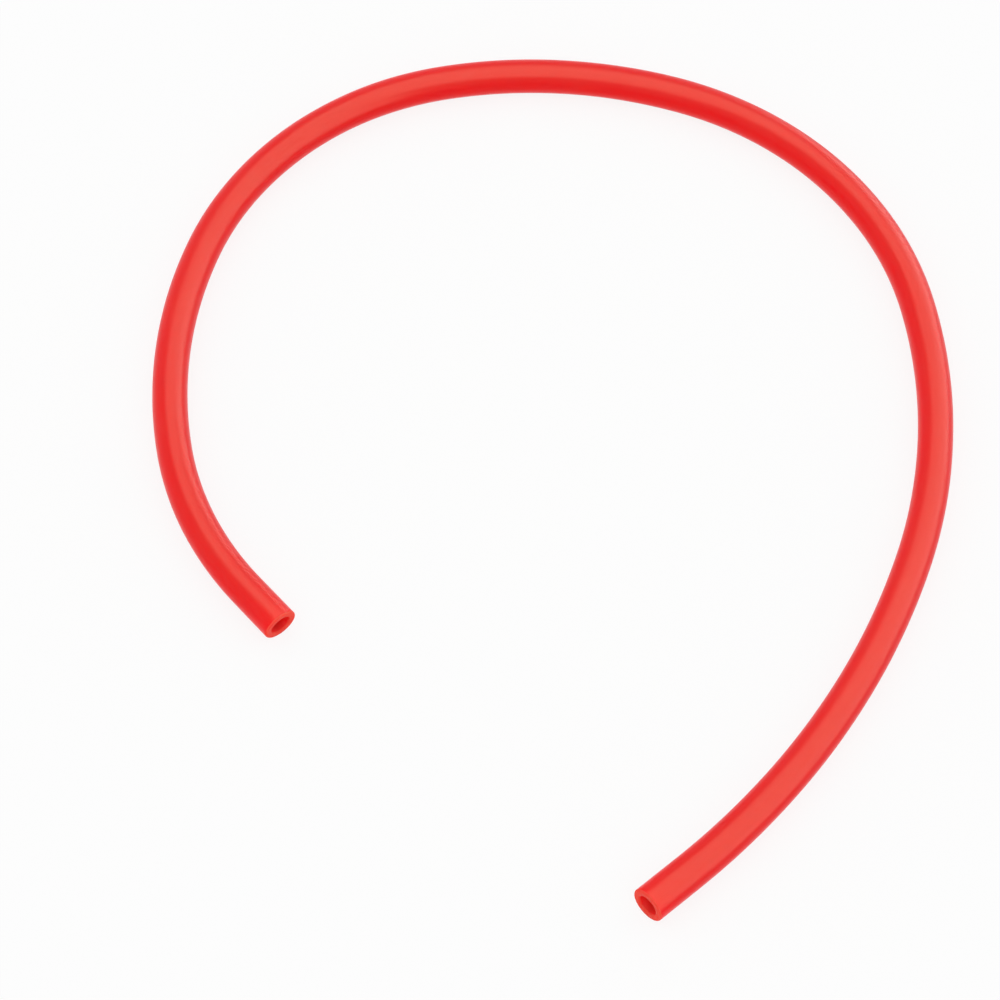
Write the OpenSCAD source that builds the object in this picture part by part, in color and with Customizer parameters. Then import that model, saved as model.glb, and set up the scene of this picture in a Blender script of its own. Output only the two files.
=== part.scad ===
// Red rubber vacuum tubing: one extruded length, cut square at both ends, lying flat in an open loop.
// The tube runs from its tail mouth through nine bends of 30 degrees to its head mouth, so the tail
// mouth faces -X and the head mouth faces -Y. The loop stands on z = 0, with the origin under its middle.

/* [Section] */
// Diameter of the bore
bore_d = 6; // [2:0.5:20]
// Thickness of the rubber wall
wall = 2; // [0.5:0.25:10]

/* [Ends] */
// Straight stretch behind the tail mouth
tail_straight = 15; // [5:1:120]
// Straight stretch behind the head mouth
head_straight = 15; // [5:1:60]

/* [Lie of the loop] */
// Bend radius of the slack tail, at the middle of the tube
tail_bend_r = 220; // [150:5:300]
// Bend radius where the tail tightens into the loop
tail_join_r = 165; // [100:5:220]
// Bend radius of the first side of the loop
first_side_r = 100; // [60:5:160]
// Bend radius of the first shoulder
first_shoulder_r = 100; // [60:5:160]
// Bend radius of the slack crown between the shoulders
crown_r = 135; // [60:5:180]
// Bend radius of the second shoulder
second_shoulder_r = 90; // [60:5:160]
// Bend radius of the second side of the loop
second_side_r = 95; // [60:5:160]
// Bend radius where the loop slackens towards the head
head_join_r = 135; // [60:5:180]
// Bend radius of the last bend before the head
head_bend_r = 95; // [60:5:160]

/* [Hidden] */
$fn = 96;

// Turn of each bend; three of them make a quarter turn
bend_angle = 30;
quarter = 90 / bend_angle;

tube_d = bore_d + 2 * wall;
bend_r = [
    tail_bend_r, tail_join_r, first_side_r,
    first_shoulder_r, crown_r, second_shoulder_r,
    second_side_r, head_join_r, head_bend_r
];

// Unit vector along a heading, counted from +X towards +Y
function along(heading) = [cos(heading), sin(heading)];

// Heading of the tube where bend i starts; the tail leaves its mouth along +X and every bend turns left
function heading(i) = i * bend_angle;

// Middle of the turn of bend i, which lies to the left of the tube
function bend_centre(i) =
    i == 0
    ? [tail_straight, bend_r[0]]
    : bend_centre(i - 1) + (bend_r[i] - bend_r[i - 1]) * along(heading(i) + 90);

// Middle of the tube where bend i starts
function bend_start(i) = bend_centre(i) - bend_r[i] * along(heading(i) + 90);

// Middle of the tube where the last bend runs out
last = len(bend_r) - 1;
head_start = bend_centre(last) - bend_r[last] * along(heading(last + 1) + 90);

// The widest points of the loop lie where the heading is along an axis
east = bend_start(quarter)[0] + tube_d / 2;
north = bend_start(2 * quarter)[1] + tube_d / 2;
west = min(0, head_start[0] - tube_d / 2);
south = min(-tube_d / 2, head_start[1] - head_straight);

// Moves in two steps, whole thousandths of a millimetre first, so that no digit is lost
// and the round ends of neighbouring stretches meet face to face
module exactly_at(place) {
    thousandths = [for (c = place) round(c * 1000) / 1000];
    translate(thousandths)
        translate(place - thousandths)
            children();
}

module section() {
    difference() {
        circle(d = tube_d);
        circle(d = bore_d);
    }
}

// A straight stretch that starts at the origin and runs along a heading
module straight(length, heading) {
    rotate([0, 0, heading])
        rotate([90, 0, 90])
            linear_extrude(height = length)
                section();
}

// Bend i, turned about its own centre
module bend(i) {
    exactly_at(bend_centre(i))
        rotate_extrude(start = heading(i) - 90, angle = bend_angle)
            translate([bend_r[i], 0])
                section();
}

module rubber_tube() {
    color("#e8392f")
        translate([-(west + east) / 2, -(south + north) / 2, tube_d / 2]) {
            straight(tail_straight, heading(0));
            for (i = [0 : last])
                bend(i);
            exactly_at(head_start)
                straight(head_straight, heading(last + 1));
        }
}

rubber_tube();
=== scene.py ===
"""One length of red rubber vacuum tubing, lying on a bench in an open loop.

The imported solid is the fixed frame. A finely ringed tube is laid along the same route, with its open bore,
its two knife-cut mouths and the faint lines that an extruder's die leaves, and is dressed as satin rubber.
"""

import logging
import math
from dataclasses import dataclass, field
from enum import Enum
from functools import cached_property
from typing import Any

import bpy
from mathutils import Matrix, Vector, noise


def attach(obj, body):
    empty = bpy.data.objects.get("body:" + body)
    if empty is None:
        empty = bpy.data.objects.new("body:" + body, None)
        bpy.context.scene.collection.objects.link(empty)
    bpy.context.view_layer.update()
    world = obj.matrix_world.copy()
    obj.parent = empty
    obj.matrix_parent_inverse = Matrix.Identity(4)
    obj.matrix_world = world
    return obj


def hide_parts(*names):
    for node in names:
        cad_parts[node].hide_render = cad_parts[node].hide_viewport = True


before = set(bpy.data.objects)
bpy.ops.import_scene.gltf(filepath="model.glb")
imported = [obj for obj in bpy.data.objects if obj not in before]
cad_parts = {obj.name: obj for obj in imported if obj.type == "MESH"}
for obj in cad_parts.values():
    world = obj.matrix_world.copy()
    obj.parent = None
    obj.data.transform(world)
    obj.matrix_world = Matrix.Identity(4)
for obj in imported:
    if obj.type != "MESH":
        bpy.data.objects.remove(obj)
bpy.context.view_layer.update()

log = logging.getLogger("rubber_tubing")

MM = 0.001
UP = Vector((0.0, 0.0, 1.0))
IMAGE_PIXELS = 1000.0
STRAIGHT = "straight"
BAKE_MAP = "OFBake"


def linear(hex_colour: str) -> tuple[float, float, float, float]:
    """Turn an sRGB colour into the linear values that Blender's sockets take.

    Args:
        hex_colour: A hash sign and six hex digits.

    Returns:
        Red, green and blue, and an alpha of 1.
    """
    channels = [int(hex_colour[i : i + 2], 16) / 255.0 for i in (1, 3, 5)]
    red, green, blue = (c / 12.92 if c <= 0.04045 else ((c + 0.055) / 1.055) ** 2.4 for c in channels)
    return red, green, blue, 1.0


def add_node(
    tree: bpy.types.NodeTree,
    kind: str,
    props: dict[str, Any] | None = None,
    sockets: dict[str | int, Any] | None = None,
    links: dict[str | int, bpy.types.NodeSocket] | None = None,
) -> bpy.types.Node:
    """Add a node with its settings and its links.

    Args:
        tree: The node tree that it goes into.
        kind: Blender's name of the node's type.
        props: Values of the node's own properties, by name.
        sockets: Values of the inputs that nothing feeds, by name or number.
        links: The outputs that feed the other inputs, by the input's name or number.

    Returns:
        The new node.
    """
    node = tree.nodes.new(kind)
    for name, value in (props or {}).items():
        setattr(node, name, value)
    for key, value in (sockets or {}).items():
        node.inputs[key].default_value = value
    for key, output in (links or {}).items():
        tree.links.new(output, node.inputs[key])
    return node


def per_metre(size_mm: float) -> float:
    """How many features of a size in millimetres go into a metre, as texture scales count them."""
    return 1.0 / (size_mm * MM)


class Zone(Enum):
    """The surfaces of the tube, numbered as the material slots of its mesh."""

    SKIN = 0
    CUT = 1
    BORE = 2


class Mouth(Enum):
    """The two cut ends of the tube, by the way that each faces along the route."""

    TAIL = -1
    HEAD = 1


@dataclass(frozen=True)
class Station:
    """A place on the middle line of the tube.

    Attributes:
        middle: The place itself, in the frame of the part.
        ahead: Unit vector along the tube, towards its head.
        left: Unit vector across the tube, towards the inside of its bends.
    """

    middle: Vector
    ahead: Vector
    left: Vector


@dataclass(frozen=True)
class LoopRoute:
    """The lie of the tube on the bench: straight, nine bends to the left, straight.

    Attributes:
        tube_radius: Outside radius of the tube, which is also the height of its middle line.
        tail_straight: Straight stretch behind the tail mouth.
        head_straight: Straight stretch behind the head mouth.
        bend_turn: How far each bend turns, in radians.
        bend_radii: Radius of each bend at the middle line, from the tail to the head.
    """

    tube_radius: float = 5.0 * MM
    tail_straight: float = 15.0 * MM
    head_straight: float = 15.0 * MM
    bend_turn: float = math.radians(30.0)
    bend_radii: tuple[float, ...] = tuple(r * MM for r in (220, 165, 100, 100, 135, 90, 95, 135, 95))

    def bend_start(self, bend: int) -> float:
        """Distance from the tail mouth to the start of a bend, or to the end of the last one."""
        return self.tail_straight + self.bend_turn * sum(self.bend_radii[:bend])

    @cached_property
    def length(self) -> float:
        """Length of the middle line from mouth to mouth."""
        return self.bend_start(len(self.bend_radii)) + self.head_straight

    def walk(self, along: float) -> tuple[float, float, float]:
        """Follow the route from a tail mouth at the origin that starts along +X.

        Args:
            along: Distance from the tail mouth. Beyond either mouth the line runs on straight.

        Returns:
            The x and y reached there, and the heading in radians from +X.
        """
        x = y = heading = 0.0
        to_go = along
        stretches = [(self.tail_straight, 0.0)]
        stretches += [(radius * self.bend_turn, 1.0 / radius) for radius in self.bend_radii]
        for length, curvature in stretches:
            step = min(to_go, length)
            to_go -= step
            turned = heading + step * curvature
            if curvature:
                x += (math.sin(turned) - math.sin(heading)) / curvature
                y -= (math.cos(turned) - math.cos(heading)) / curvature
            else:
                x += step
            heading = turned
            if to_go <= 0.0:
                return x, y, heading
        return x + to_go * math.cos(heading), y + to_go * math.sin(heading), heading

    @cached_property
    def shift(self) -> Vector:
        """The move that brings the middle of the loop's box over the origin and the tube onto the bench."""
        quarter = round(math.pi / 2.0 / self.bend_turn)
        east = self.walk(self.bend_start(quarter))[0] + self.tube_radius
        north = self.walk(self.bend_start(2 * quarter))[1] + self.tube_radius
        head_x, head_y, _ = self.walk(self.length)
        west = min(0.0, head_x - self.tube_radius)
        south = min(-self.tube_radius, head_y)
        return Vector((-(west + east) / 2.0, -(south + north) / 2.0, self.tube_radius))

    def station(self, along: float) -> Station:
        """Find a place on the middle line.

        Args:
            along: Distance from the tail mouth.

        Returns:
            The place, with its directions, in the frame of the part.
        """
        x, y, heading = self.walk(along)
        ahead = Vector((math.cos(heading), math.sin(heading), 0.0))
        return Station(Vector((x, y, 0.0)) + self.shift, ahead, UP.cross(ahead))


@dataclass(frozen=True)
class Ring:
    """One ring of points around the middle line.

    Attributes:
        along: Distance from the tail mouth.
        radius: Distance of its points from the middle line.
        zone: The surface between this ring and the next one.
        mouth: The mouth whose cut it belongs to, if any.
        spread: Its radius where that cut is laid flat for the texture map.
    """

    along: float
    radius: float
    zone: Zone
    mouth: Mouth | None = None
    spread: float = 0.0


@dataclass(frozen=True)
class KnifeCut:
    """How a knife leaves the end of a rubber tube.

    Attributes:
        lip: Radius of the edges where the cut meets the skin and the bore.
        lip_steps: Rings in each of those edges.
        face_steps: Rings across the face between them.
        slant: How far the cut is out of square, as a slope.
        slant_turn: Where around the tube the cut reaches furthest, in radians.
        fade: How far behind the cut its slant dies out.
        drag: Height of the ripples that the blade drags across the face.
        drag_spacing: Distance between those ripples.
    """

    lip: float = 0.5 * MM
    lip_steps: int = 5
    face_steps: int = 9
    slant: float = 0.075
    slant_turn: float = 1.13
    fade: float = 8.0 * MM
    drag: float = 0.03 * MM
    drag_spacing: float = 0.8 * MM

    def rings(self, mouth: Mouth, route: LoopRoute, bore_radius: float) -> list[Ring]:
        """List the rings of one cut, from the skin to the bore.

        Args:
            mouth: Which end is cut.
            route: The line that the tube follows.
            bore_radius: Radius of the bore.

        Returns:
            The rings over the outer lip, the face and the inner lip.
        """
        end = route.length if mouth is Mouth.HEAD else 0.0
        outside = route.tube_radius
        face_out, face_in = outside - self.lip, bore_radius + self.lip
        quarter = math.pi / 2.0

        def ring(depth: float, radius: float, spread: float) -> Ring:
            """A ring at a depth behind the cut."""
            return Ring(end - mouth.value * depth, radius, Zone.CUT, mouth, spread)

        rings = []
        for step in range(self.lip_steps):
            turn = quarter * step / self.lip_steps
            depth = self.lip * (1.0 - math.sin(turn))
            radius = face_out + self.lip * math.cos(turn)
            rings.append(ring(depth, radius, face_out + self.lip * (quarter - turn)))
        for step in range(self.face_steps + 1):
            radius = face_out + (face_in - face_out) * step / self.face_steps
            rings.append(ring(0.0, radius, radius))
        for step in range(1, self.lip_steps):
            turn = quarter * step / self.lip_steps
            depth = self.lip * (1.0 - math.cos(turn))
            radius = face_in - self.lip * math.sin(turn)
            rings.append(ring(depth, radius, face_in - self.lip * turn))
        return rings

    def lean(self, turn: float, radius: float, mouth: Mouth, depth: float) -> float:
        """How far a point near the cut is moved along the tube by the cut's slant and ripples.

        Args:
            turn: Where the point is around the tube.
            radius: How far it is from the middle line.
            mouth: Which end is cut.
            depth: How far behind the cut it lies.

        Returns:
            The move, which is positive out of the mouth.
        """
        near = max(0.0, 1.0 - depth / self.fade) ** 2
        slanted = self.slant * radius * math.cos(turn - self.slant_turn * mouth.value)
        across = radius * math.sin(turn + self.slant_turn) / self.drag_spacing
        on_face = max(0.0, 1.0 - depth / self.lip)
        spot = Vector((across, 0.35 * across * mouth.value, 4.0 * mouth.value))
        return near * slanted + self.drag * on_face * noise.noise(spot)


@dataclass
class RubberTube:
    """The tube itself: an even wall around an open bore, cut at both ends.

    Attributes:
        route: The line that it follows.
        cut: How its two ends are cut.
        bore_radius: Radius of the bore.
        around: Points in each ring.
        skin_step: Distance between the rings of the skin.
        bore_step: Distance between the rings of the bore.
        flattening: How much the bends narrow the tube and raise it, as a share of its radius.
        flattening_run: How far behind a mouth the tube is still round.
        pulse: Height of the slow swelling that an extruder's screw leaves.
        pulse_length: Length of one swelling.
        die_line: Height of the lines that the die leaves along the skin.
        die_line_width: Width of one such line.
        die_line_length: How far one such line runs before it fades.
        twist: How far the lines turn around the tube over its length, in radians.
        rows: Rows that the tube is cut into on the texture map.
    """

    route: LoopRoute
    cut: KnifeCut
    bore_radius: float = 3.0 * MM
    around: int = 96
    skin_step: float = 1.2 * MM
    bore_step: float = 3.0 * MM
    flattening: float = 0.008
    flattening_run: float = 40.0 * MM
    pulse: float = 0.045 * MM
    pulse_length: float = 26.0 * MM
    die_line: float = 0.011 * MM
    die_line_width: float = 1.3 * MM
    die_line_length: float = 90.0 * MM
    twist: float = 0.7
    rows: int = 4
    piece: bpy.types.Object | None = field(default=None, init=False)

    def rings(self) -> list[Ring]:
        """List all rings in a closed round: skin, head cut, bore, tail cut."""
        outside, length, lip = self.route.tube_radius, self.route.length, self.cut.lip
        run = length - 2.0 * lip
        skin_rings = round(run / self.skin_step)
        bore_rings = round(run / self.bore_step)
        inside = self.bore_radius
        skin = [Ring(lip + run * i / skin_rings, outside, Zone.SKIN) for i in range(skin_rings)]
        bore = [Ring(length - lip - run * i / bore_rings, inside, Zone.BORE) for i in range(bore_rings)]
        head = self.cut.rings(Mouth.HEAD, self.route, inside)
        tail = self.cut.rings(Mouth.TAIL, self.route, inside)
        start_of_tail = Ring(lip, inside, Zone.CUT, Mouth.TAIL, self._inner_spread())
        return skin + head + bore + [start_of_tail] + tail[:0:-1]

    def _inner_spread(self) -> float:
        """Radius of the bore's edge where a cut is laid flat for the texture map."""
        return self.bore_radius + self.cut.lip * (1.0 - math.pi / 2.0)

    def _outer_spread(self) -> float:
        """Radius of the skin's edge where a cut is laid flat for the texture map."""
        return self.route.tube_radius + self.cut.lip * (math.pi / 2.0 - 1.0)

    def swell(self, turn: float, along: float) -> float:
        """How far the skin stands proud of a true cylinder.

        Args:
            turn: Where around the tube, counted with its twist.
            along: Distance from the tail mouth.

        Returns:
            The height in metres.
        """
        cos, sin = math.cos(turn), math.sin(turn)
        lines = self.route.tube_radius / self.die_line_width
        slow = noise.noise(Vector((0.8 * cos, 0.8 * sin, along / self.pulse_length)))
        fine = noise.noise(Vector((lines * cos, lines * sin, 50.0 + along / self.die_line_length)))
        return self.pulse * slow + self.die_line * fine

    def place(self, ring: Ring, turn: float) -> tuple[Vector, Vector]:
        """Find a point of a ring.

        Args:
            ring: The ring.
            turn: Where around the tube, in radians from the inside of its bends, upwards.

        Returns:
            The point in the frame of the part, and where it would be if the tube were straight.
        """
        length = self.route.length
        from_tail, from_head = ring.along, length - ring.along
        mouth, depth = (Mouth.TAIL, from_tail) if from_tail < from_head else (Mouth.HEAD, from_head)
        along = ring.along + mouth.value * self.cut.lean(turn, ring.radius, mouth, depth)
        twisted = turn + self.twist * ring.along / length
        share = min(1.0, depth / self.flattening_run)
        squeeze = self.flattening * share * share * (3.0 - 2.0 * share)
        radius = ring.radius
        if ring.zone is Zone.SKIN or ring.radius > self.route.tube_radius - self.cut.lip:
            radius += self.swell(twisted, ring.along)
        station = self.route.station(along)
        lift = squeeze * self.route.tube_radius
        across = station.left * (radius * math.cos(turn) * (1.0 - squeeze))
        upwards = UP * (radius * math.sin(turn) * (1.0 + squeeze) + lift)
        straight = Vector((ring.radius * math.cos(twisted), ring.radius * math.sin(twisted), ring.along))
        return station.middle + across + upwards, straight

    def build(self) -> bpy.types.Object:
        """Make the tube's mesh and put it in the scene.

        Returns:
            The new piece, in the frame of the part.
        """
        rings = self.rings()
        turns = [2.0 * math.pi * i / self.around for i in range(self.around)]
        placed = [self.place(ring, turn) for ring in rings for turn in turns]
        faces, zones = [], []
        for i, ring in enumerate(rings):
            here, there = i * self.around, ((i + 1) % len(rings)) * self.around
            for j in range(self.around):
                k = (j + 1) % self.around
                faces.append((here + j, here + k, there + k, there + j))
                zones.append(ring.zone.value)
        mesh = bpy.data.meshes.new("red_rubber_tube")
        mesh.from_pydata([point for point, _ in placed], [], faces)
        mesh.polygons.foreach_set("material_index", zones)
        mesh.polygons.foreach_set("use_smooth", [True] * len(faces))
        straight = mesh.attributes.new(STRAIGHT, "FLOAT_VECTOR", "POINT")
        straight.data.foreach_set("vector", [c for _, place in placed for c in place])
        self._lay_flat(mesh, rings)
        mesh.update()
        self.piece = bpy.data.objects.new("red_rubber_tube", mesh)
        bpy.context.scene.collection.objects.link(self.piece)
        return self.piece

    def _lay_flat(self, mesh: bpy.types.Mesh, rings: list[Ring]) -> None:
        """Unroll the tube in rows on its texture map, with the two cut faces beside them.

        Args:
            mesh: The tube's mesh, whose faces follow the rings in order.
            rings: Those rings.
        """
        row_width, skin_height, bore_height, gap, disc = 0.87, 0.178, 0.05, 0.011, 0.045
        row_length = self.route.length / self.rows
        spots = []
        for i, ring in enumerate(rings):
            after = rings[(i + 1) % len(rings)]
            row = min(self.rows - 1, int((ring.along + after.along) / 2.0 / row_length))
            base = row * (skin_height + gap)
            height = skin_height
            if ring.zone is Zone.BORE:
                base, height = self.rows * (skin_height + gap) + row * (bore_height + gap), bore_height
            for j in range(self.around):
                for along_ring, step in ((ring, j), (ring, j + 1), (after, j + 1), (after, j)):
                    share = step / self.around
                    if ring.zone is Zone.CUT:
                        spread = along_ring.spread or self._outer_spread()
                        reach = disc * spread / self.route.tube_radius
                        middle = 0.25 if ring.mouth is Mouth.TAIL else 0.6
                        turn = 2.0 * math.pi * share
                        spots += [0.94 + reach * math.cos(turn), middle + reach * math.sin(turn)]
                    else:
                        offset = (along_ring.along - row * row_length) / row_length
                        spots += [0.005 + row_width * offset, 0.003 + base + height * share]
        mesh.uv_layers.new(name=BAKE_MAP).uv.foreach_set("vector", spots)

    def dress(self, finishes: dict[Zone, "RubberFinish"]) -> None:
        """Give each surface its finish.

        Args:
            finishes: The finish of each surface.
        """
        for zone in Zone:
            self.piece.data.materials.append(finishes[zone].material())

    def declare(self) -> None:
        """Hang the piece on the root body and hide the CAD solid that it replaces."""
        length = self.route.length
        steps = 240
        path = [self.route.station(length * i / steps).middle for i in range(steps + 1)]
        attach(self.piece, "root")
        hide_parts("rubber_tube")


@dataclass(frozen=True)
class RubberFinish:
    """Red rubber as one surface of the tube shows it.

    Attributes:
        name: What the material is, and how its surface was made.
        body: Colour of the pigmented rubber.
        deep: Colour where the surface shows less of the haze.
        haze: Colour of the pale haze on the surface.
        dust: Colour of the few specks that lie on it.
        roughness: Least and most roughness.
        grain_mm: Size of the surface's lines along the straightened tube's three axes.
        mottle_mm: Size of the patches in its colour.
        speck_mm: Size of a speck.
        speck_spacing_mm: Distance from speck to speck.
        grit_mm: Size of the finest unevenness that is drawn.
        relief_mm: Height of the lines and the grit together.
        glow_mm: How far light spreads under the surface.
        gloss: Level of the sheen, where 0.5 is that of clean rubber.
        sheen: Colour of the sheen, which the pigment close under the surface warms.
    """

    name: str
    body: str
    deep: str
    haze: str
    dust: str
    roughness: tuple[float, float]
    grain_mm: tuple[float, float, float]
    mottle_mm: float
    speck_mm: float
    speck_spacing_mm: float
    grit_mm: float
    relief_mm: float
    glow_mm: float
    gloss: float
    sheen: str = "#ffedc8"

    def material(self) -> bpy.types.Material:
        """Make the material.

        Returns:
            A procedural material that reads the straightened tube's coordinates.
        """
        made = bpy.data.materials.new(self.name)
        made.use_nodes = True
        tree = made.node_tree
        tree.nodes.clear()
        straight = add_node(tree, "ShaderNodeAttribute", {"attribute_name": STRAIGHT}).outputs["Vector"]
        stretched = add_node(
            tree,
            "ShaderNodeMapping",
            sockets={"Scale": tuple(per_metre(size) for size in self.grain_mm)},
            links={"Vector": straight},
        ).outputs["Vector"]
        lines = add_node(
            tree,
            "ShaderNodeTexNoise",
            sockets={"Scale": 1.0, "Detail": 3.0, "Roughness": 0.6},
            links={"Vector": stretched},
        ).outputs["Fac"]
        mottle = add_node(
            tree,
            "ShaderNodeTexNoise",
            sockets={"Scale": per_metre(self.mottle_mm), "Detail": 4.0, "Roughness": 0.55},
            links={"Vector": straight},
        ).outputs["Fac"]
        grit = add_node(
            tree,
            "ShaderNodeTexNoise",
            sockets={"Scale": per_metre(self.grit_mm), "Detail": 2.0, "Roughness": 0.7},
            links={"Vector": straight},
        ).outputs["Fac"]
        colour = self._colour(tree, straight, lines, mottle)
        smooth, rough = self.roughness
        roughness = add_node(
            tree,
            "ShaderNodeMapRange",
            sockets={"From Min": 0.1, "From Max": 0.9, "To Min": smooth, "To Max": rough},
            links={"Value": mottle},
        ).outputs["Result"]
        height = add_node(
            tree,
            "ShaderNodeMath",
            {"operation": "MULTIPLY_ADD"},
            sockets={1: 0.35},
            links={0: grit, 2: lines},
        ).outputs["Value"]
        normal = add_node(
            tree,
            "ShaderNodeBump",
            sockets={"Strength": 1.0, "Distance": self.relief_mm * MM},
            links={"Height": height},
        ).outputs["Normal"]
        surface = add_node(
            tree,
            "ShaderNodeBsdfPrincipled",
            {"subsurface_method": "RANDOM_WALK"},
            sockets={
                "IOR": 1.52,
                "Specular IOR Level": self.gloss,
                "Specular Tint": linear(self.sheen),
                "Subsurface Weight": 1.0,
                "Subsurface Radius": (1.0, 0.1, 0.08),
                "Subsurface Scale": self.glow_mm * MM,
            },
            links={"Base Color": colour, "Roughness": roughness, "Normal": normal},
        ).outputs["BSDF"]
        add_node(tree, "ShaderNodeOutputMaterial", links={"Surface": surface})
        return made

    def _colour(
        self,
        tree: bpy.types.NodeTree,
        straight: bpy.types.NodeSocket,
        lines: bpy.types.NodeSocket,
        mottle: bpy.types.NodeSocket,
    ) -> bpy.types.NodeSocket:
        """Lay the colours over each other.

        Args:
            tree: The material's node tree.
            straight: Coordinates of the straightened tube.
            lines: The pattern of lines.
            mottle: The pattern of patches.

        Returns:
            The colour of the surface.
        """
        hazed = add_node(tree, "ShaderNodeValToRGB", links={"Fac": mottle})
        ramp = hazed.color_ramp
        # The ramp's ends lie past the pattern's own range, so that no patch stops at an edge
        for end, position, colour in ((0, 0.1, self.deep), (1, 0.9, self.haze)):
            ramp.elements[end].position = position
            ramp.elements[end].color = linear(colour)
        ramp.elements.new(0.5).color = linear(self.body)
        lined = add_node(
            tree,
            "ShaderNodeMapRange",
            sockets={"From Min": 0.42, "From Max": 0.72, "To Min": 0.0, "To Max": 0.35},
            links={"Value": lines},
        ).outputs["Result"]
        with_lines = add_node(
            tree,
            "ShaderNodeMix",
            {"data_type": "RGBA"},
            sockets={7: linear(self.haze)},
            links={0: lined, 6: hazed.outputs["Color"]},
        ).outputs[2]
        nearest = add_node(
            tree,
            "ShaderNodeTexVoronoi",
            sockets={"Scale": per_metre(self.speck_spacing_mm), "Randomness": 1.0},
            links={"Vector": straight},
        ).outputs["Distance"]
        edge = 0.5 * self.speck_mm / self.speck_spacing_mm
        specks = add_node(
            tree,
            "ShaderNodeMapRange",
            sockets={"From Min": 0.7 * edge, "From Max": edge, "To Min": 0.5, "To Max": 0.0},
            links={"Value": nearest},
        ).outputs["Result"]
        return add_node(
            tree,
            "ShaderNodeMix",
            {"data_type": "RGBA"},
            sockets={7: linear(self.dust)},
            links={0: specks, 6: with_lines},
        ).outputs[2]


# Extruded red rubber, cured and wiped clean. The skin has a satin sheen that spreads a lamp into a broad
# pale band, a thin haze of bloom in soft patches, and fine lines along its length from the die. The lines
# are really about 0.3 mm apart, which is one pixel here, so they are drawn four times as coarse.
EXTRUDED_SKIN = RubberFinish(
    name="extruded_red_rubber",
    body="#f80e1a",
    deep="#f60818",
    haze="#f81e20",
    dust="#f08a78",
    roughness=(0.27, 0.35),
    grain_mm=(1.2, 1.2, 90.0),
    mottle_mm=14.0,
    speck_mm=0.55,
    speck_spacing_mm=13.0,
    grit_mm=0.7,
    relief_mm=0.02,
    glow_mm=3.0,
    gloss=0.25,
)

# The same rubber where a knife went through it. A fresh cut is matt and a shade paler than the skin, with
# fine marks along the blade's stroke. They are about 0.1 mm apart and are drawn at 0.5 mm.
KNIFE_CUT = RubberFinish(
    name="knife_cut_red_rubber",
    body="#f2483c",
    deep="#f03c32",
    haze="#f4584a",
    dust="#f6a494",
    roughness=(0.55, 0.68),
    grain_mm=(0.5, 5.0, 5.0),
    mottle_mm=2.5,
    speck_mm=0.3,
    speck_spacing_mm=4.0,
    grit_mm=0.35,
    relief_mm=0.05,
    glow_mm=3.0,
    gloss=0.2,
)

# The wall of the bore, drawn over the extruder's core pin. Little light falls in at the mouth, and most of
# what it shows comes through the rubber, so it glows in a deep even red, with a trace of talc in it. Its
# colours are painted paler than the skin's: painted light that lifts the bore out of the shade that falls
# inside it.
PALE_PAINTED_BORE = RubberFinish(
    name="core_drawn_rubber_bore",
    # Painted light: paler than the skin's rubber, to brighten the shaded bore
    body="#fe2a2c",
    deep="#fc2028",
    haze="#fe3c36",
    dust="#f2887c",
    roughness=(0.6, 0.72),
    grain_mm=(0.8, 0.8, 40.0),
    mottle_mm=6.0,
    speck_mm=0.3,
    speck_spacing_mm=5.0,
    grit_mm=0.4,
    relief_mm=0.02,
    glow_mm=5.0,
    gloss=0.2,
)


@dataclass(frozen=True)
class Viewpoint:
    """Where the camera stands.

    Attributes:
        target: The point on the bench that is in the middle of the picture.
        heading: Where the camera looks, in radians from +Y towards +X.
        elevation: How high it stands above the bench, in radians.
        distance: How far it stands from the target.
        pixels_per_metre: Scale of the picture at the target.
        sensor_mm: Width of its sensor.
    """

    target: tuple[float, float, float] = (-35.79 * MM, -5.19 * MM, 0.0)
    heading: float = math.radians(40.92)
    elevation: float = math.radians(58.0)
    distance: float = 1.0
    pixels_per_metre: float = 3601.4
    sensor_mm: float = 36.0

    def away(self) -> Vector:
        """Unit vector along the bench, away from the camera."""
        return Vector((math.sin(self.heading), math.cos(self.heading), 0.0))

    def rightwards(self) -> Vector:
        """Unit vector along the bench, to the right of the picture."""
        return self.away().cross(UP)

    def set_up(self) -> bpy.types.Object:
        """Make the camera.

        Returns:
            The camera, which is now the scene's.
        """
        look = self.away() * math.cos(self.elevation) - UP * math.sin(self.elevation)
        data = bpy.data.cameras.new("bench_camera")
        data.sensor_width = self.sensor_mm
        data.lens = self.sensor_mm * self.pixels_per_metre * self.distance / IMAGE_PIXELS
        data.clip_start, data.clip_end = 0.05, 50.0
        camera = bpy.data.objects.new("bench_camera", data)
        camera.location = Vector(self.target) - look * self.distance
        camera.rotation_euler = look.to_track_quat("-Z", "Y").to_euler()
        bpy.context.scene.collection.objects.link(camera)
        bpy.context.scene.camera = camera
        return camera


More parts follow.
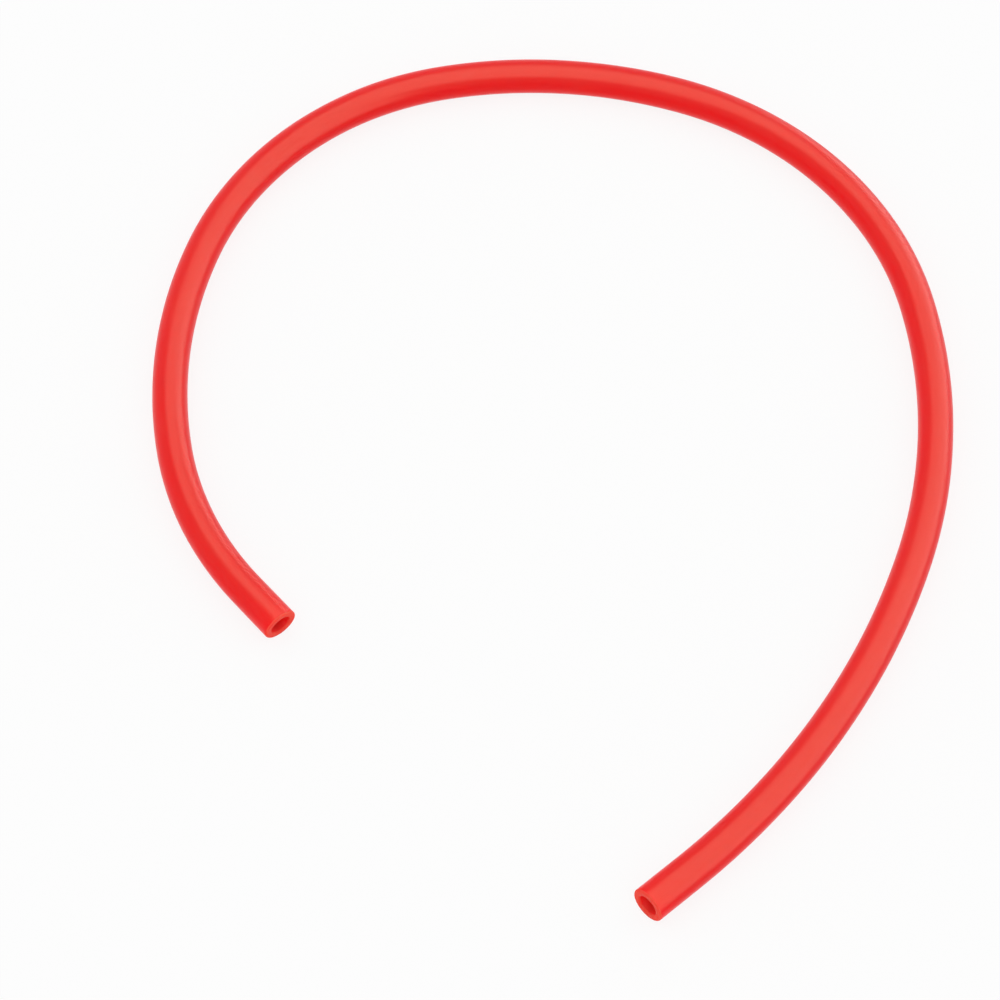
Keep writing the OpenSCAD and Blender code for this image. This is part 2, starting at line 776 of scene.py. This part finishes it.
@dataclass(frozen=True)
class SoftBox:
    """A panel of a light tent, aimed at the middle of the loop, that shows only in the rubber's sheen.

    Attributes:
        name: Which panel of the tent it is.
        bearing: Where it hangs, in degrees to the right of straight away from the camera.
        elevation: How high it hangs, in degrees above the bench.
        distance: How far it hangs from the loop.
        width: Length of its level sides.
        height: Length of its other sides.
        brightness: Brightness of its diffuser, where 1 is a white surface in the picture.
    """

    name: str
    bearing: float
    elevation: float
    distance: float
    width: float
    height: float
    brightness: float

    def hang(self, view: Viewpoint) -> bpy.types.Object:
        """Put the lamp in the scene, aimed at the loop.

        Args:
            view: The camera's place, which left and right are counted from.

        Returns:
            The lamp.
        """
        data = bpy.data.lights.new(self.name, "AREA")
        data.shape, data.size, data.size_y = "RECTANGLE", self.width, self.height
        data.energy = math.pi * self.brightness * self.width * self.height
        lamp = bpy.data.objects.new(self.name, data)
        bearing, elevation = math.radians(self.bearing), math.radians(self.elevation)
        level = view.rightwards() * math.sin(bearing) + view.away() * math.cos(bearing)
        lamp.location = (level * math.cos(elevation) + UP * math.sin(elevation)) * self.distance
        lamp.rotation_euler = (-lamp.location).to_track_quat("-Z", "Y").to_euler()
        # The even room lights the rubber, and this lamp only shows in its sheen
        lamp.visible_diffuse = False
        bpy.context.scene.collection.objects.link(lamp)
        return lamp


@dataclass(frozen=True)
class WhiteBench:
    """A plain white bench top that runs on past the picture, and the white room around it.

    Attributes:
        half_width: Half the length of its sides.
        white: Colour of the bench top and the room.
        room_light: How strongly the room lights what stands on the bench.
        brightening: How far the bench top is lifted to white in the picture, from 0 to 1.
    """

    half_width: float = 6.0
    white: str = "#f8f8f8"
    room_light: float = 0.92
    brightening: float = 0.86

    def build(self) -> bpy.types.Object:
        """Lay the bench top and light the room.

        Returns:
            The bench top.
        """
        mesh = bpy.data.meshes.new("bench_top")
        w = self.half_width
        mesh.from_pydata([(-w, -w, 0.0), (w, -w, 0.0), (w, w, 0.0), (-w, w, 0.0)], [], [(0, 1, 2, 3)])
        mesh.materials.append(self._top())
        bench = bpy.data.objects.new("bench_top", mesh)
        bpy.context.scene.collection.objects.link(bench)
        self._room()
        return bench

    def _seen(self, tree: bpy.types.NodeTree) -> bpy.types.NodeSocket:
        """Tell rays that show a picture from rays that carry light.

        Args:
            tree: The node tree that asks.

        Returns:
            1 for a ray from the camera, off a gloss or through a clear thing, and otherwise 0.
        """
        path = add_node(tree, "ShaderNodeLightPath").outputs
        mirrored = add_node(
            tree,
            "ShaderNodeMath",
            {"operation": "MAXIMUM"},
            links={0: path["Is Camera Ray"], 1: path["Is Glossy Ray"]},
        ).outputs["Value"]
        return add_node(
            tree,
            "ShaderNodeMath",
            {"operation": "MAXIMUM"},
            links={0: mirrored, 1: path["Is Transmission Ray"]},
        ).outputs["Value"]

    def _top(self) -> bpy.types.Material:
        """The bench top's material: it takes shadows, and shows as white."""
        made = bpy.data.materials.new("white_bench_top")
        made.use_nodes = True
        tree = made.node_tree
        tree.nodes.clear()
        matt = add_node(tree, "ShaderNodeBsdfDiffuse", sockets={"Color": linear(self.white)}).outputs["BSDF"]
        white = add_node(tree, "ShaderNodeEmission", sockets={"Strength": 1.0}).outputs["Emission"]
        lifted = add_node(
            tree,
            "ShaderNodeMath",
            {"operation": "MULTIPLY"},
            sockets={1: self.brightening},
            links={0: self._seen(tree)},
        ).outputs["Value"]
        shown = add_node(tree, "ShaderNodeMixShader", links={0: lifted, 1: matt, 2: white}).outputs["Shader"]
        add_node(tree, "ShaderNodeOutputMaterial", links={"Surface": shown})
        return made

    def _room(self) -> None:
        """Make the world: an even white room that shows as white."""
        world = bpy.data.worlds.new("white_room")
        world.use_nodes = True
        tree = world.node_tree
        tree.nodes.clear()
        plain = (1.0, 1.0, 1.0, 1.0)
        light = add_node(
            tree,
            "ShaderNodeBackground",
            sockets={"Color": plain, "Strength": self.room_light},
        ).outputs["Background"]
        white = add_node(
            tree,
            "ShaderNodeBackground",
            sockets={"Color": plain, "Strength": 1.0},
        ).outputs["Background"]
        shown = add_node(
            tree,
            "ShaderNodeMixShader",
            links={0: self._seen(tree), 1: light, 2: white},
        ).outputs["Shader"]
        add_node(tree, "ShaderNodeOutputWorld", links={"Surface": shown})
        bpy.context.scene.world = world


def main() -> None:
    """Build the camera, the tube and the studio, in that order."""
    logging.basicConfig(level=logging.INFO, format="%(message)s")
    bpy.context.scene.view_settings.view_transform = "Standard"
    view = Viewpoint()
    view.set_up()
    tube = RubberTube(LoopRoute(), KnifeCut())
    piece = tube.build()
    tube.dress({Zone.SKIN: EXTRUDED_SKIN, Zone.CUT: KNIFE_CUT, Zone.BORE: PALE_PAINTED_BORE})
    tube.declare()
    log.info("%s: %d faces, %.1f mm long", piece.name, len(piece.data.polygons), tube.route.length / MM)
    bench = WhiteBench().build()
    log.info("%s laid", bench.name)
    for lamp in (
        SoftBox("tent_top", 84.0, 84.0, 1.2, width=2.1, height=1.7, brightness=3.4),
        SoftBox("tent_right", 84.0, 24.0, 1.2, width=4.4, height=1.1, brightness=3.4),
    ):
        log.info("%s hung", lamp.hang(view).name)


if __name__ == "__main__":
    main()
